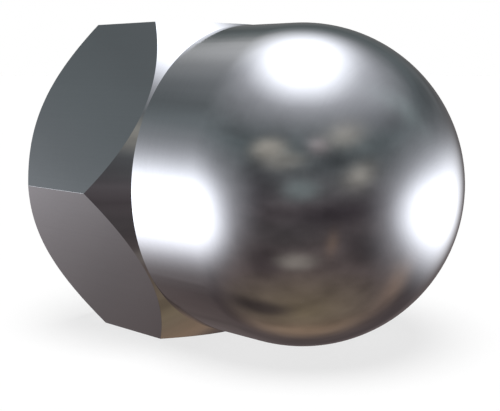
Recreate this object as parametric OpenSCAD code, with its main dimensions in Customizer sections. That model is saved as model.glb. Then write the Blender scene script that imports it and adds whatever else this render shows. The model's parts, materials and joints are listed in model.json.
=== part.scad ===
// Domed cap nut, turned from hexagon bar in one piece. It lies on one of its flats,
// with the thread along +X and the dome pointing to +X.
// The origin is the middle of the bearing face.

/* [Hexagon] */
// Width across the flats, which is the size of its spanner
across_flats = 10; // [8:0.5:16]
// Height of the hexagon, from the bearing face to the foot of the neck
hex_h = 5.4; // [4:0.1:9]
// Slope of the chamfer at each end of the hexagon, measured from the bearing face
chamfer_angle = 55; // [30:1:60]
// How far the rim of the bearing face lies inside the middle of each flat
bearing_inset = 0.25; // [0.1:0.05:0.6]

/* [Dome] */
// How far the neck lies inside the middle of each flat
neck_inset = 0.04; // [0.02:0.01:0.4]
// Length of the straight neck between the hexagon and the dome
neck_h = 2.25; // [0.5:0.05:6]

/* [Threaded hole] */
// Nominal diameter of the thread
thread_d = 6; // [4:0.5:7]
// Pitch of the thread
thread_pitch = 1; // [0.5:0.05:1.25]
// How much wider the countersunk mouth is than the thread
mouth_extra = 0.6; // [0.2:0.1:1]
// Angle across the countersunk mouth
mouth_angle = 90; // [60:5:120]
// Angle across the point of the drill
drill_angle = 118; // [90:2:140]
// Metal left between the point of the hole and the top of the dome
crown_wall = 1.8; // [1:0.1:3]

/* [Hidden] */
$fn = 96;

// How far a cutting shape runs past what it cuts, along the axis and around the bar
run_out = 1;
skim = 0.2;

// The hexagon, the bearing face and the neck, each from the flats inwards
corner_r = across_flats / 2 / cos(30);
bearing_r = across_flats / 2 - bearing_inset;
neck_r = across_flats / 2 - neck_inset;
// The chamfers are drawn on past the corners of the bar, so that their cones cut clean edges
skim_r = corner_r + skim;
bottom_chamfer_h = (skim_r - bearing_r) * tan(chamfer_angle);
top_chamfer_h = (skim_r - neck_r) * tan(chamfer_angle);

// The dome is half a ball of the neck's radius, so the two meet without a step
dome_h = hex_h + neck_h;
overall_h = dome_h + neck_r;

// The hole is drilled to the thread's core, and its depth leaves the crown wall
core_r = (thread_d - thread_pitch) / 2;
mouth_r = (thread_d + mouth_extra) / 2;
mouth_h = (mouth_r - core_r) / tan(mouth_angle / 2);
point_h = core_r / tan(drill_angle / 2);
drilled_h = overall_h - crown_wall - point_h;

// Half section of the outside, as it is turned on the lathe
module turned_section() {
    polygon([
        [0, 0],
        [bearing_r, 0],
        [skim_r, bottom_chamfer_h],
        [skim_r, hex_h - top_chamfer_h],
        [neck_r, hex_h],
        [neck_r, dome_h],
        [0, dome_h],
    ]);
    translate([0, dome_h])
        intersection() {
            circle(r = neck_r);
            square(neck_r);
        }
}

// Half section of the drilled hole, with its countersunk mouth and the drill's point
module hole_section() {
    polygon([
        [0, -run_out],
        [mouth_r + run_out * tan(mouth_angle / 2), -run_out],
        [core_r, mouth_h],
        [core_r, drilled_h],
        [0, drilled_h + point_h],
    ]);
}

// Hexagon bar with a flat facing each way along X, longer than the nut that is turned from it
module hexagon_bar() {
    rotate([0, 0, 30])
        cylinder(h = overall_h + run_out, r = corner_r, $fn = 6);
}

// The nut on its own axis, standing on its bearing face
module upright_nut() {
    difference() {
        intersection() {
            hexagon_bar();
            rotate_extrude() turned_section();
        }
        rotate_extrude() hole_section();
    }
}

// The finished nut lies on a flat, and its mouth opens to -X
module cap_nut() {
    color("silver")
        rotate([0, 90, 0])
            upright_nut();
}

cap_nut();
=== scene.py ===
# %% [markdown]
# # A domed cap nut in polished chrome plate
# A cap nut covers the end of a bolt, so that nothing catches on the thread and no water
# reaches it. The real one starts as hexagon bar: a lathe turns the chamfers, the neck and the
# dome, a drill and a tap make the blind threaded hole, and the nut is polished and plated.
# This lesson takes nearly the same steps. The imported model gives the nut's place, its overall
# size and its bore, and the rest is built to fit them.

import json
import math

import bmesh
import bpy
from mathutils import Matrix, Vector


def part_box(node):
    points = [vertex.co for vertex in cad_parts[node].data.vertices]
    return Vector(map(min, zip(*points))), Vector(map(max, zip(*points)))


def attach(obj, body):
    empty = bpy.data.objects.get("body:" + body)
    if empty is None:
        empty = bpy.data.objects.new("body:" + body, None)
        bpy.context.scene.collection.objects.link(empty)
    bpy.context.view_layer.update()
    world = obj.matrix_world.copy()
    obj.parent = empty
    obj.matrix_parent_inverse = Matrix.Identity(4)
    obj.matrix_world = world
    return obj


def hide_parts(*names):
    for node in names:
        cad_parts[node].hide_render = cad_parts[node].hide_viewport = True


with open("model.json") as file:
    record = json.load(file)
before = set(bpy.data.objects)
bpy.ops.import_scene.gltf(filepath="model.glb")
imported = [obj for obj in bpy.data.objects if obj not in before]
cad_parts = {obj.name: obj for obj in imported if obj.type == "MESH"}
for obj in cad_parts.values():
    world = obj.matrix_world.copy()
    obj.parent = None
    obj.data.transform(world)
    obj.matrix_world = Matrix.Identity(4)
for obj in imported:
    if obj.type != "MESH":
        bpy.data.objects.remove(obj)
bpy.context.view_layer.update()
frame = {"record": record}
nut_low, nut_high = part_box("cap_nut")
nut_centre = (nut_low + nut_high) / 2
print("the nut measures", [round(1000 * side, 2) for side in nut_high - nut_low], "mm")

# %% [markdown]
# ## Camera
# The nut lies on one flat, and the lens looks at a corner of the hexagon and the side of the
# dome from a little above. The lens is little more than two nut lengths away, and that is
# what makes the hexagon taper so strongly towards its far end. A long lens from further back
# would show the same faces with nearly parallel edges.

# %% Camera
MM = 0.001
view_azimuth = math.radians(42)
view_elevation = math.radians(8.5)
lens_distance = 28.14 * MM
frame_right = -0.59 * MM
frame_up = -0.77 * MM
focal_length = 63
sensor_width = 36
nearest_seen = 1 * MM
farthest_seen = 10


def direction(azimuth, elevation):
    """The unit vector at an azimuth, from -Y towards +X, and an elevation above level."""
    level = math.cos(elevation)
    return Vector((math.sin(azimuth) * level, -math.cos(azimuth) * level, math.sin(elevation)))


towards_lens = direction(view_azimuth, view_elevation)
lens_turn = towards_lens.to_track_quat("Z", "Y")
shift = lens_turn @ Vector((frame_right, frame_up, 0))

camera_data = bpy.data.cameras.new("camera")
camera_data.lens = focal_length
camera_data.sensor_width = sensor_width
camera_data.clip_start = nearest_seen
camera_data.clip_end = farthest_seen
camera = bpy.data.objects.new("camera", camera_data)
camera.rotation_euler = lens_turn.to_euler()
camera.location = nut_centre + towards_lens * lens_distance + shift
bpy.context.collection.objects.link(camera)
bpy.context.scene.camera = camera
bpy.context.scene.view_settings.view_transform = "Standard"
print("camera at", [round(x / MM, 2) for x in camera.location], "mm")

# %% [markdown]
# ## The turned blank
# Everything round on the nut comes from one lathe outline: drill point, bore, countersink,
# bearing face, lower chamfer, bar, upper chamfer, neck and dome. Spinning that outline makes
# one closed skin at once, which a cylinder and a half sphere joined together would not.
# Blender's mesh tools work best on sizes near one unit, so the nut is modelled in
# millimetres and shrunk to metres at the end.

# %% Sizes of the nut, in millimetres
thread = next(m for m in frame["record"]["mounts"] if m["name"] == "thread")
across_flats = (nut_high.z - nut_low.z) / MM
corner_radius = nut_high.y / MM
overall_length = nut_high.x / MM
bore_radius = thread["dims"]["r_mm"]
countersink_depth = thread["pos_m"][0] / MM
bore_end = countersink_depth + thread["dims"]["length_mm"]

hexagon_height = 5.4
neck_height = 2.25
chamfer_slope = math.tan(math.radians(55))
bearing_inset = 0.25
drill_point = 118
bar_allowance = 0.2

dome_radius = overall_length - hexagon_height - neck_height
dome_centre = hexagon_height + neck_height
bearing_radius = across_flats / 2 - bearing_inset
bar_radius = corner_radius + bar_allowance
countersink_radius = bore_radius + countersink_depth
drill_tip = bore_end + bore_radius / math.tan(math.radians(drill_point / 2))
print("dome radius", round(dome_radius, 3), "mm, drill tip at", round(drill_tip, 3), "mm")

# %% Spin the outline
turn_steps = 240
dome_steps = 48
touching = 1e-4  # points nearer than this, in millimetres, become one


def lathe(outline):
    """Spins an outline of (place on the axis, radius) points round the X axis."""
    piece = bmesh.new()
    points = [piece.verts.new((x, 0, radius)) for x, radius in outline]
    lines = [piece.edges.new(pair) for pair in zip(points, points[1:])]
    bmesh.ops.spin(
        piece, geom=points + lines, axis=(1, 0, 0), cent=(0, 0, 0),
        angle=2 * math.pi, steps=turn_steps, use_merge=True,
    )
    bmesh.ops.remove_doubles(piece, verts=piece.verts, dist=touching)
    bmesh.ops.recalc_face_normals(piece, faces=piece.faces)
    return piece


dome_arc = [
    (
        dome_centre + dome_radius * math.sin(math.pi / 2 * step / dome_steps),
        dome_radius * math.cos(math.pi / 2 * step / dome_steps),
    )
    for step in range(dome_steps)
]
blank = lathe([
    (drill_tip, 0),
    (bore_end, bore_radius),
    (countersink_depth, bore_radius),
    (0, countersink_radius),
    (0, bearing_radius),
    ((bar_radius - bearing_radius) * chamfer_slope, bar_radius),
    (hexagon_height - (bar_radius - dome_radius) * chamfer_slope, bar_radius),
    (hexagon_height, dome_radius),
    *dome_arc,
    (overall_length, 0),
])
print("turned blank:", len(blank.faces), "faces")

# %% [markdown]
# ## The six flats
# On the real nut the flats are the skin of the hexagon bar, and the chamfers cut into them
# and leave their curved ends. The order makes no difference to the shape, so here each flat is
# a plane cut through the round blank: the arcs then come out by themselves, exactly where
# cone and flat meet. A hexagonal prism with the arcs drawn on would only come near them.

# %% Cut the flats
def cut_off(piece, plane_point, outward, tolerance):
    """Takes off what lies past a plane, and closes the cut with a flat face."""
    cut = bmesh.ops.bisect_plane(
        piece, geom=piece.verts[:] + piece.edges[:] + piece.faces[:], dist=tolerance,
        plane_co=plane_point, plane_no=outward, clear_outer=True,
    )
    rim = [part for part in cut["geom_cut"] if isinstance(part, bmesh.types.BMEdge)]
    bmesh.ops.edgeloop_fill(piece, edges=rim)


for side in range(6):
    outward = Matrix.Rotation(math.radians(60 * side), 3, "X") @ Vector((0, 0, 1))
    cut_off(blank, outward * across_flats / 2, outward, touching)
bmesh.ops.recalc_face_normals(blank, faces=blank.faces)
print("with its flats:", len(blank.faces), "faces, largest",
      round(max(face.calc_area() for face in blank.faces), 2), "mm2")

# %% [markdown]
# ## Edges
# Polishing before plating takes the sharpness off every edge, and the plate itself grows a
# little round on them. A narrow rounded band on each outer edge catches a thin line of light.
# A wider one would be easier to see, but the nut would look moulded. The rims inside the hole
# stay sharp, because the tap cuts them next.

# %% Round the outer edges
edge_round = 0.003
round_steps = 3
least_turn = math.radians(20)


def radius_of(point):
    """How far a point lies from the thread's axis."""
    return math.hypot(point.co.y, point.co.z)


outer_edges = [
    edge for edge in blank.edges
    if edge.is_convex and edge.calc_face_angle(0) > least_turn
    and min(radius_of(end) for end in edge.verts) > bore_radius + edge_round
]
bmesh.ops.bevel(
    blank, geom=outer_edges, offset=edge_round, offset_type="OFFSET", segments=round_steps,
    profile=0.5, affect="EDGES", clamp_overlap=True, material=-1,
)
print(len(outer_edges), "edge pieces rounded")

# %% [markdown]
# ## The thread
# The hole holds a right-hand thread of 1 mm pitch. A row of V-shaped teeth, moved along by
# one pitch while it is spun once round, meets itself again and makes the body of a tap. Its
# end is tapered, as a real tap's is, so the last turns run out before the drill point. The
# Boolean then cuts the grooves where the real tap would, through bore and countersink alike.

# %% The tap
thread_pitch = 1.0
thread_radius = 3.0
tap_core = 2.35
groove_floor = thread_pitch / 8
flank_slope = math.tan(math.radians(30))
tap_steps = 120
tap_start = -0.5
untapped = 0.5
tap_end = bore_end - untapped
tap_lead = 2.2
spare_turns = 2

groove_mouth = groove_floor + 2 * (thread_radius - tap_core) * flank_slope
tooth = [
    (-groove_mouth / 2, tap_core),
    (-groove_floor / 2, thread_radius),
    (groove_floor / 2, thread_radius),
    (groove_mouth / 2, tap_core),
]
tap = bmesh.new()
teeth = [
    tap.verts.new((x + turn_number * thread_pitch, 0, radius))
    for turn_number in range(-spare_turns, math.ceil(tap_end / thread_pitch) + spare_turns)
    for x, radius in tooth
]
tap_edges = [tap.edges.new(pair) for pair in zip(teeth, teeth[1:])]
bmesh.ops.spin(
    tap, geom=teeth + tap_edges, axis=(1, 0, 0), cent=(0, 0, 0),
    dvec=(thread_pitch / tap_steps, 0, 0), angle=2 * math.pi, steps=tap_steps,
)
bmesh.ops.remove_doubles(tap, verts=tap.verts, dist=touching)
for tap_face, outward in ((tap_start, -1), (tap_end, 1)):
    cut_off(tap, (tap_face, 0, 0), (outward, 0, 0), touching / 10)
for point in tap.verts:
    worn = max(0, point.co.x - (tap_end - tap_lead)) / tap_lead
    reach = thread_radius - worn * (thread_radius - tap_core)
    if radius_of(point) > reach:
        shrink = reach / radius_of(point)
        point.co.y *= shrink
        point.co.z *= shrink
bmesh.ops.recalc_face_normals(tap, faces=tap.faces)
print("tap:", len(tap.faces), "faces,", sum(edge.is_boundary for edge in tap.edges), "open edges")

# %% Tap the hole
def as_object(name, piece):
    """Turns a bmesh into an object in the scene."""
    mesh = bpy.data.meshes.new(name)
    piece.to_mesh(mesh)
    piece.free()
    made = bpy.data.objects.new(name, mesh)
    bpy.context.collection.objects.link(made)
    return made


def applied(made):
    """The mesh of an object with its modifiers worked in."""
    bpy.context.view_layer.update()
    finished = made.evaluated_get(bpy.context.evaluated_depsgraph_get())
    return bpy.data.meshes.new_from_object(finished)


blank_object = as_object("turned_blank", blank)
tap_object = as_object("tap", tap)
tapping = blank_object.modifiers.new("tapping", "BOOLEAN")
tapping.operation = "DIFFERENCE"
tapping.solver = "EXACT"
tapping.object = tap_object
nut_mesh = applied(blank_object)
bpy.data.objects.remove(tap_object)
bpy.data.objects.remove(blank_object)
print("tapped nut:", len(nut_mesh.vertices), "points,", len(nut_mesh.polygons), "faces")

# %% [markdown]
# ## Shading
# The dome has to look like one unbroken curve, and each flat like a ground mirror. Smooth
# shading alone would bend the reflections in a flat towards its rounded edges. Weighted
# normals let the large faces win at each shared point, so the flats stay flat and only the
# narrow bands turn. Edges that turn more than 30 degrees, such as the thread's, stay sharp.

# %% Smooth the curves and keep the flats flat
sharp_turn = math.radians(30)
nut_skin = bmesh.new()
nut_skin.from_mesh(nut_mesh)
bmesh.ops.remove_doubles(nut_skin, verts=nut_skin.verts, dist=touching)
bmesh.ops.dissolve_degenerate(nut_skin, edges=nut_skin.edges, dist=touching)
for face in nut_skin.faces:
    face.smooth = True
for edge in nut_skin.edges:
    edge.smooth = edge.calc_face_angle(0) < sharp_turn
open_edges = sum(not edge.is_manifold for edge in nut_skin.edges)
nut = as_object("chromed_cap_nut", nut_skin)
weighting = nut.modifiers.new("weighting", "WEIGHTED_NORMAL")
weighting.keep_sharp = True
weighting.weight = 100
weighting.thresh = 1e-6
smoothed = applied(nut)
nut.modifiers.clear()
nut.data = smoothed
nut.data.transform(Matrix.Scale(MM, 4))
print("finished skin:", len(nut.data.polygons), "faces,", open_edges, "open edges")

# %% [markdown]
# ## Chrome plate on four kinds of surface
# Chromium is a slightly blue grey metal, and nearly all that the eye sees in it is the room.
# It is laid a fraction of a micron thick over bright nickel, so it keeps every mark below it,
# and each tool has left its own: fine rings where the lathe turned the steel, fine lines along
# the flats where the bar was drawn through its die, coarse rings on the bearing face, which is
# never buffed, and a dull skin in the thread, where little plate reaches. One plate over the
# whole nut would be simpler, but the nut would look cast in plastic.
#
# Polished chrome has a roughness of about 0.05 and chrome over turned steel one of 0.2 to 0.3.
# Real buffing lines are a few thousandths of a millimetre wide, too fine to show, so they are
# drawn 0.06 mm wide. The rings on the bearing face are a lathe's real feed of 0.07 mm.

# %% Helpers for colours, nodes and materials
def linear(hex_code):
    """A colour written as sRGB hex, as the linear values that the shaders want."""
    channels = [int(hex_code[place:place + 2], 16) / 255 for place in (0, 2, 4)]
    return [c / 12.92 if c <= 0.04045 else ((c + 0.055) / 1.055) ** 2.4 for c in channels]


def add_node(tree, kind, inputs=None, **settings):
    """Adds a shader node. Inputs are values, or sockets of other nodes to link from."""
    node = tree.nodes.new("ShaderNode" + kind)
    for name, value in settings.items():
        setattr(node, name, value)
    for socket, value in (inputs or {}).items():
        if isinstance(value, bpy.types.NodeSocket):
            tree.links.new(value, node.inputs[socket])
        else:
            node.inputs[socket].default_value = value
    return node


def new_material(name):
    """An empty material, and its node tree."""
    material = bpy.data.materials.new(name)
    material.use_nodes = True
    material.node_tree.nodes.clear()
    return material, material.node_tree


polished_chrome = "C7C9CF"
unbuffed_chrome = "B4B6BA"
thin_chrome = "A5A29C"
print("polished chrome is", [round(c, 3) for c in linear(polished_chrome)], "in linear light")

# %% One plate, laid over marks of any width and depth
wheel_mark = 0.9 * MM
wheel_depth = 0.002 * MM
haze_share = 0.5
noise_low = 0.3
noise_high = 0.7


def chrome_plate(name, hex_code, drawn, mark_width, mark_depth, smoothest, roughest, streak):
    """Chrome over tool marks that run round the axis or, if drawn, along it."""
    material, tree = new_material(name)
    place = add_node(tree, "TexCoord").outputs["Object"]
    across = add_node(tree, "VectorMath", {0: place, 1: (0, 1, 1)}, operation="MULTIPLY")
    if drawn:
        lines = across.outputs[0]
    else:
        radius = add_node(tree, "VectorMath", {0: across.outputs[0]}, operation="LENGTH")
        along = add_node(tree, "SeparateXYZ", {0: place}).outputs["X"]
        lines = add_node(tree, "CombineXYZ", {0: along, 1: radius.outputs["Value"]}).outputs[0]
    marks = add_node(tree, "TexNoise", {"Vector": lines, "Scale": 1 / mark_width, "Detail": 2})
    haze = add_node(tree, "TexNoise", {"Vector": place, "Scale": 1 / wheel_mark, "Detail": 3})
    wear = add_node(tree, "Mix", {
        0: haze_share, 2: marks.outputs[0], 3: haze.outputs[0]}).outputs[0]
    rough = add_node(tree, "MapRange", {
        0: wear, 1: noise_low, 2: noise_high, 3: smoothest, 4: roughest})
    shade = add_node(tree, "MapRange", {
        0: marks.outputs[0], 1: noise_low, 2: noise_high, 3: 1 - streak, 4: 1})
    colour = add_node(tree, "Mix", {0: 1, 6: (*linear(hex_code), 1), 7: shade.outputs[0]},
                      data_type="RGBA", blend_type="MULTIPLY").outputs[2]
    waviness = add_node(tree, "Bump", {
        "Height": haze.outputs[0], "Strength": 1, "Distance": wheel_depth}).outputs[0]
    grooves = add_node(tree, "Bump", {
        "Height": marks.outputs[0], "Strength": 1, "Distance": mark_depth,
        "Normal": waviness}).outputs[0]
    shader = add_node(tree, "BsdfPrincipled", {
        "Base Color": colour, "Metallic": 1, "Roughness": rough.outputs[0], "Normal": grooves})
    add_node(tree, "OutputMaterial", {"Surface": shader.outputs[0]})
    return material


plates = [
    # Dome, neck and chamfers: a mirror that is only just soft, with rings too faint to count.
    chrome_plate(
        "buffed_chrome_on_turned_steel", polished_chrome, drawn=False, mark_width=0.06 * MM,
        mark_depth=0.00004 * MM, smoothest=0.06, roughest=0.1, streak=0.02),
    # The six flats: the same mirror, with its faint lines along the bar.
    chrome_plate(
        "buffed_chrome_on_drawn_steel", polished_chrome, drawn=True, mark_width=0.06 * MM,
        mark_depth=0.00004 * MM, smoothest=0.06, roughest=0.1, streak=0.02),
    # The bearing face: a satin ring that breaks every reflection into circles.
    chrome_plate(
        "chrome_on_faced_steel", unbuffed_chrome, drawn=False, mark_width=0.07 * MM,
        mark_depth=0.006 * MM, smoothest=0.18, roughest=0.3, streak=0.35),
    # Countersink, thread and drill point: a greyer, warmer skin that mirrors nothing clearly.
    chrome_plate(
        "thin_chrome_in_tapped_steel", thin_chrome, drawn=False, mark_width=0.04 * MM,
        mark_depth=0.0004 * MM, smoothest=0.25, roughest=0.4, streak=0.1),
]
for plate in plates:
    nut.data.materials.append(plate)
print("plates:", ", ".join(plate.name for plate in plates))

# %% Lay each plate on its faces
# A face is told by its place: within the mouth, at the bearing end, or as far out as the flats
# without leaning. All the others get the plate of the turned steel.
turned, drawn, faced, tapped = range(4)
across_the_flats = across_flats / 2 * MM
mouth_radius = countersink_radius * MM
hole_depth = (drill_tip + edge_round) * MM
face_depth = edge_round * MM / 10
least_lean = 0.01
nearly = 0.999
for face in nut.data.polygons:
    centre = face.center
    reach = centre.dot(face.normal)
    from_axis = math.hypot(centre.y, centre.z)
    if from_axis < mouth_radius and 0 < centre.x < hole_depth:
        face.material_index = tapped
    elif centre.x < face_depth:
        face.material_index = faced
    elif abs(face.normal.x) < least_lean and reach > across_the_flats * nearly:
        face.material_index = drawn
    else:
        face.material_index = turned
counts = [0] * len(plates)
for face in nut.data.polygons:
    counts[face.material_index] += 1
print("faces on each plate:", counts)
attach(nut, "root")
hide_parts("cap_nut")

# %% [markdown]
# ## The studio in the chrome
# A mirror-bright part shows its whole surroundings, so the studio has to be built as carefully
# as the nut. Here it is painted on the inside of one big shell, as a theatre paints a
# backcloth: first the walls, then the dim things that stand about, then three soft lights with
# the haze round them. Only reflections see the shell, so from every side the lens sees a
# clean white background. A picture of a room would be quicker, but nothing in it could be
# moved, and real lamps would light the floor as well.
#
# The walls are one colour ramp over the height: warm boards below, a brown grey up to the
# horizon, a cool grey above it and a plain one at the ceiling.

# %% The shell and its walls
studio_radius = 1.0
shell_subdivisions = 5
room_bm = bmesh.new()
bmesh.ops.create_icosphere(room_bm, subdivisions=shell_subdivisions, radius=studio_radius)
bmesh.ops.reverse_faces(room_bm, faces=room_bm.faces)
room = as_object("studio_room", room_bm)
room.location = nut_centre
room.visible_camera = False
room.visible_diffuse = False
room.visible_transmission = False
room.visible_volume_scatter = False
room.visible_shadow = False

wall_colours = {
    -90: "8C7C64", -50: "685C58", -10: "686060", 30: "687070", 60: "707070", 90: "808080",
}
walls, studio_tree = new_material("painted_studio_wall")
place = add_node(studio_tree, "TexCoord").outputs["Object"]
facing = add_node(studio_tree, "VectorMath", {0: place}, operation="NORMALIZE").outputs[0]
height = add_node(studio_tree, "SeparateXYZ", {0: facing}).outputs["Z"]
elevation = add_node(studio_tree, "Math", {0: height}, operation="ARCSINE").outputs[0]
share = add_node(studio_tree, "MapRange", {
    0: elevation, 1: -math.pi / 2, 2: math.pi / 2}).outputs[0]
shades = add_node(studio_tree, "ValToRGB", {0: share})
stops = shades.color_ramp.elements
for angle, hex_code in wall_colours.items():
    stop = stops.new(angle / 180 + 0.5)
    stop.color = (*linear(hex_code), 1)
stops.remove(stops[0])
stops.remove(stops[-1])
painted = shades.outputs[0]
print("studio shell:", len(room.data.polygons), "faces,", len(wall_colours), "wall colours")

# %% [markdown]
# ## Things in the room
# A real room has furniture, cloths and boards in it, and shadows on its floor, and the dome
# squeezes them all into small soft shapes. Only their tone, place and rough size can be told in it,
# so each one is a single soft-edged ellipse, two of them painted shadows. Modelled furniture would
# take far longer and look much the same. One brush paints them all, and the soft lights as well: it
# looks at the shell from the nut, in one direction, and fades from the middle of that view
# outwards.

# %% A brush for one soft-edged thing
# What lies behind counts as far off to the side, where the paint has faded.
least_ahead = 0.001


def painted_thing(under, azimuth, elevation, width, height, turn, cover, colour, edge=2,
                  corner=2, level=1):
    """Paints a soft-edged shape over the colour under it, its place and half sizes in degrees.

    A higher edge is crisper. A corner of 2 makes an ellipse, and more makes it squarer.
    """
    outward = direction(math.radians(azimuth), math.radians(elevation))
    stand = outward.to_track_quat("Z", "Y").to_matrix() @ Matrix.Rotation(
        math.radians(-turn), 3, "Z")
    here = add_node(studio_tree, "Mapping", {
        "Vector": facing, "Rotation": stand.to_euler(),
        "Scale": (math.tan(math.radians(width)), math.tan(math.radians(height)), 1),
    }, vector_type="TEXTURE").outputs[0]
    ahead = add_node(studio_tree, "SeparateXYZ", {0: here}).outputs["Z"]
    ahead = add_node(studio_tree, "Math", {0: ahead, 1: least_ahead},
                     operation="MAXIMUM").outputs[0]
    nearness = add_node(studio_tree, "Math", {0: 1, 1: ahead}, operation="DIVIDE").outputs[0]
    flat = add_node(studio_tree, "VectorMath", {0: here, "Scale": nearness},
                    operation="SCALE").outputs[0]
    flat = add_node(studio_tree, "VectorMath", {0: flat}, operation="ABSOLUTE").outputs[0]
    bulge = add_node(studio_tree, "VectorMath", {0: flat, 1: (corner,) * 3},
                     operation="POWER").outputs[0]
    total = add_node(studio_tree, "VectorMath", {0: bulge, 1: (1, 1, 0)}, operation="DOT_PRODUCT")
    reach = add_node(studio_tree, "Math", {0: total.outputs["Value"], 1: edge / corner},
                     operation="POWER").outputs[0]
    fall = add_node(studio_tree, "Math", {0: 1 / math.e, 1: reach}, operation="POWER").outputs[0]
    share = add_node(studio_tree, "Math", {0: fall, 1: cover}, operation="MULTIPLY").outputs[0]
    paint = (*(level * c for c in linear(colour)), 1)
    return add_node(studio_tree, "Mix", {0: share, 6: under, 7: paint}, data_type="RGBA").outputs[2]


print("brush: at its half size a thing has", round(1 / math.e, 2), "of its cover left")

# %% Dim things in the room
cream = "D4CCBC"
pale_green = "A8B8B4"
tan = "C4A080"
charcoal = "26262C"
plum = "2E282E"
rose_grey = "CCBEBC"
stone_grey = "C4C4C0"
slate = "2A3032"
dim_things = {
    # azimuth, elevation, half width, half height, turn, cover, colour, edge
    "cream_reflector": (12, 30, 11, 7, -10, 0.75, cream, 2.5),
    "pale_screen": (24, 23, 14, 6, -10, 0.35, cream, 2.5),
    "paper_lantern": (50, 33, 7, 6, 0, 0.55, rose_grey, 2),
    "ceiling_tile": (73, 40, 13, 8, -20, 0.55, cream, 2),
    "charcoal_screen": (60, 25, 14, 8, -10, 0.4, charcoal, 2.5),
    "cream_shelf": (77, 12, 11, 7, -20, 0.45, cream, 2),
    "green_cabinet": (37, 4, 12, 7, 0, 0.4, pale_green, 2.5),
    "dark_bench": (62, -12, 34, 10, -5, 0.7, plum, 2),
    "plum_curtain": (8, 2, 13, 22, 0, 0.5, plum, 2),
    "slate_rug": (25, -27, 28, 12, 0, 0.4, slate, 2.5),
    # Painted shade: a dark patch on the studio floor, like the shadow under a bench.
    "painted_bench_shadow": (6, -46, 12, 12, 20, 0.5, plum, 2.5),
    "wooden_stool": (60, -32, 4, 8, 0, 0.2, tan, 2),
    "floor_mat": (33, -46, 12, 6, 0, 0.3, cream, 3),
    "camera_case": (86, -34, 20, 12, 20, 0.5, charcoal, 2.5),
    # Painted shadow: a dark smear low on the studio floor, like a tripod's shadow.
    "painted_tripod_shadow": (-60, -72, 8, 16, -15, 0.75, plum, 3),
    "pale_beam": (140, 42, 8, 20, -20, 0.35, pale_green, 2),
    "black_flag": (105, 46, 22, 9, 30, 0.45, charcoal, 2),
    "dark_doorway": (175, 28, 20, 20, 0, 0.25, charcoal, 2),
    "brick_pillar": (145, -45, 15, 8, 20, 0.3, tan, 2),
    "dark_step": (-175, -38, 32, 12, 0, 0.5, plum, 2),
    "pine_board": (-145, -66, 18, 10, 0, 0.35, tan, 2),
    "rose_curtain": (-66, -18, 30, 16, 15, 0.8, rose_grey, 2.5),
    "low_stand": (-90, -52, 25, 8, 0, 0.5, plum, 2),
    "ceiling_panel": (-115, 48, 15, 16, 0, 0.85, stone_grey, 2.5),
}
for thing in dim_things.values():
    painted = painted_thing(painted, *thing)
print(len(dim_things), "dim things painted")

# %% [markdown]
# ## Clutter
# Between the larger things every room has small ones that nobody arranged. A flattened noise
# makes the paint a little lighter and darker in level streaks, like loaded shelves. It comes
# before the lights, because nothing stands in front of those.

# %% Clutter
clutter_scale = 3
clutter_flatness = 2
clutter_place = (5, 1, 2)
clutter_depth = 0.2
flattened = add_node(studio_tree, "Mapping", {
    "Vector": facing, "Location": clutter_place, "Scale": (1, 1, clutter_flatness)})
clutter = add_node(studio_tree, "TexNoise", {
    "Vector": flattened.outputs[0], "Scale": clutter_scale, "Detail": 3, "Roughness": 0.5})
shelves = add_node(studio_tree, "MapRange", {
    0: clutter.outputs[0], 1: noise_low, 2: noise_high,
    3: 1 - clutter_depth, 4: 1 + clutter_depth})
painted = add_node(studio_tree, "Mix", {0: 1, 6: painted, 7: shelves.outputs[0]},
                   data_type="RGBA", blend_type="MULTIPLY").outputs[2]
print("clutter changes the paint by up to", round(100 * clutter_depth), "per cent")

# %% [markdown]
# ## Soft lights
# Three softboxes light a part like this: one overhead and one on each side. The chrome shows
# each as a white patch with a soft rim, and a wide, weak haze round it, where the light spills
# over the wall. The haze is painted in white and the boxes at a level above it. Real area
# lamps would show the same patches, but each would also throw its own shadow on the table.

# %% Soft lights and the haze round them
daylight = "FBFCFF"
haze_cover = 0.75
box_edge = 2.4
box_corner = 2.2
box_level = 3
hazes = {
    # azimuth, elevation, half width, half height
    "overhead": (150, 85, 38, 40),
    "on_the_left": (-50, -8, 42, 28),
    "on_the_right": (132, -9, 34, 26),
}
softboxes = {
    # azimuth, elevation, half width, half height
    "overhead": (-140, 78, 19, 28),
    "on_the_left": (-45, -13, 23, 19),
    "on_the_right": (147, -12, 34, 17),
}
for haze in hazes.values():
    painted = painted_thing(painted, *haze, 0, haze_cover, daylight)
for softbox in softboxes.values():
    painted = painted_thing(painted, *softbox, 0, 1, daylight, box_edge, box_corner, box_level)
glow = add_node(studio_tree, "Emission", {"Color": painted, "Strength": 1})
add_node(studio_tree, "OutputMaterial", {"Surface": glow.outputs[0]})
room.data.materials.append(walls)
print(len(softboxes), "soft lights painted,", len(studio_tree.nodes), "nodes in the studio")

# %% [markdown]
# ## Floor, lamp and background
# The nut lies on a plain white table. A broad lamp overhead and an even light from all round
# give one soft shadow. In a real studio the bright walls would fill that shadow, but here
# only reflections see them. So the table gives off part of its brightness by itself, for the
# lens alone: the shadow stays pale, the background white, and the lamp at a plain level.

# %% Floor
floor_reach = 20
floor_glow = 0.75
table_white = "FAFAFA"


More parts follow.
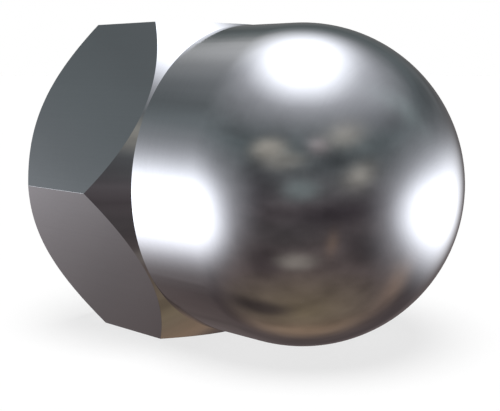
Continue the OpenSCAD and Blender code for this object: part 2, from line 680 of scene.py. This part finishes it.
def seen_by_lens(tree):
    """1 where the lens looks, straight, in a mirror or through glass, and 0 for lighting."""
    rays = add_node(tree, "LightPath").outputs
    seen = add_node(tree, "Math", {0: rays["Is Camera Ray"], 1: rays["Is Glossy Ray"]},
                    operation="ADD").outputs[0]
    return add_node(tree, "Math", {0: seen, 1: rays["Is Transmission Ray"]},
                    operation="ADD", use_clamp=True).outputs[0]


floor_bm = bmesh.new()
bmesh.ops.create_grid(floor_bm, x_segments=1, y_segments=1, size=floor_reach)
floor = as_object("floor", floor_bm)
floor.location.z = nut_low.z
floor.visible_glossy = False

# Matt white laminate: it has no gloss of its own, so all that shows on it is the shadow.
table, table_tree = new_material("matt_white_table")
seen = seen_by_lens(table_tree)
lift = add_node(table_tree, "Math", {0: seen, 1: floor_glow}, operation="MULTIPLY").outputs[0]
matt = add_node(table_tree, "BsdfDiffuse", {"Color": (*linear(table_white), 1)}).outputs[0]
white = add_node(table_tree, "Emission", {"Color": (1, 1, 1, 1), "Strength": 1}).outputs[0]
mixed = add_node(table_tree, "MixShader", {0: lift, 1: matt, 2: white}).outputs[0]
add_node(table_tree, "OutputMaterial", {"Surface": mixed})
floor.data.materials.append(table)
print("table at", round(floor.location.z / MM, 2), "mm, glowing with", floor_glow, "of white")

# %% Lamp
lamp_level = 1  # at 1, the lamp makes a white surface square to it just white
lamp_spread = math.radians(35)
lamp_from = direction(math.radians(35), math.radians(75))
lamp_data = bpy.data.lights.new("broad_overhead_lamp", "SUN")
lamp_data.angle = lamp_spread
lamp_data.energy = lamp_level * math.pi
lamp = bpy.data.objects.new("broad_overhead_lamp", lamp_data)
lamp.rotation_euler = lamp_from.to_track_quat("Z", "Y").to_euler()
lamp.visible_glossy = False
bpy.context.collection.objects.link(lamp)
print("overhead lamp:", round(lamp_data.energy, 3), "W per square metre")

# %% World
ambient_level = 0.1
world = bpy.data.worlds.new("white_surround")
bpy.context.scene.world = world
world.use_nodes = True
world_tree = world.node_tree
world_tree.nodes.clear()
seen = seen_by_lens(world_tree)
level = add_node(world_tree, "MapRange", {0: seen, 3: ambient_level, 4: 1}).outputs[0]
sky = add_node(world_tree, "Background", {"Color": (1, 1, 1, 1), "Strength": level}).outputs[0]
add_node(world_tree, "OutputWorld", {"Surface": sky})
print("surround: white to the lens, light of level", ambient_level, "for everything else")
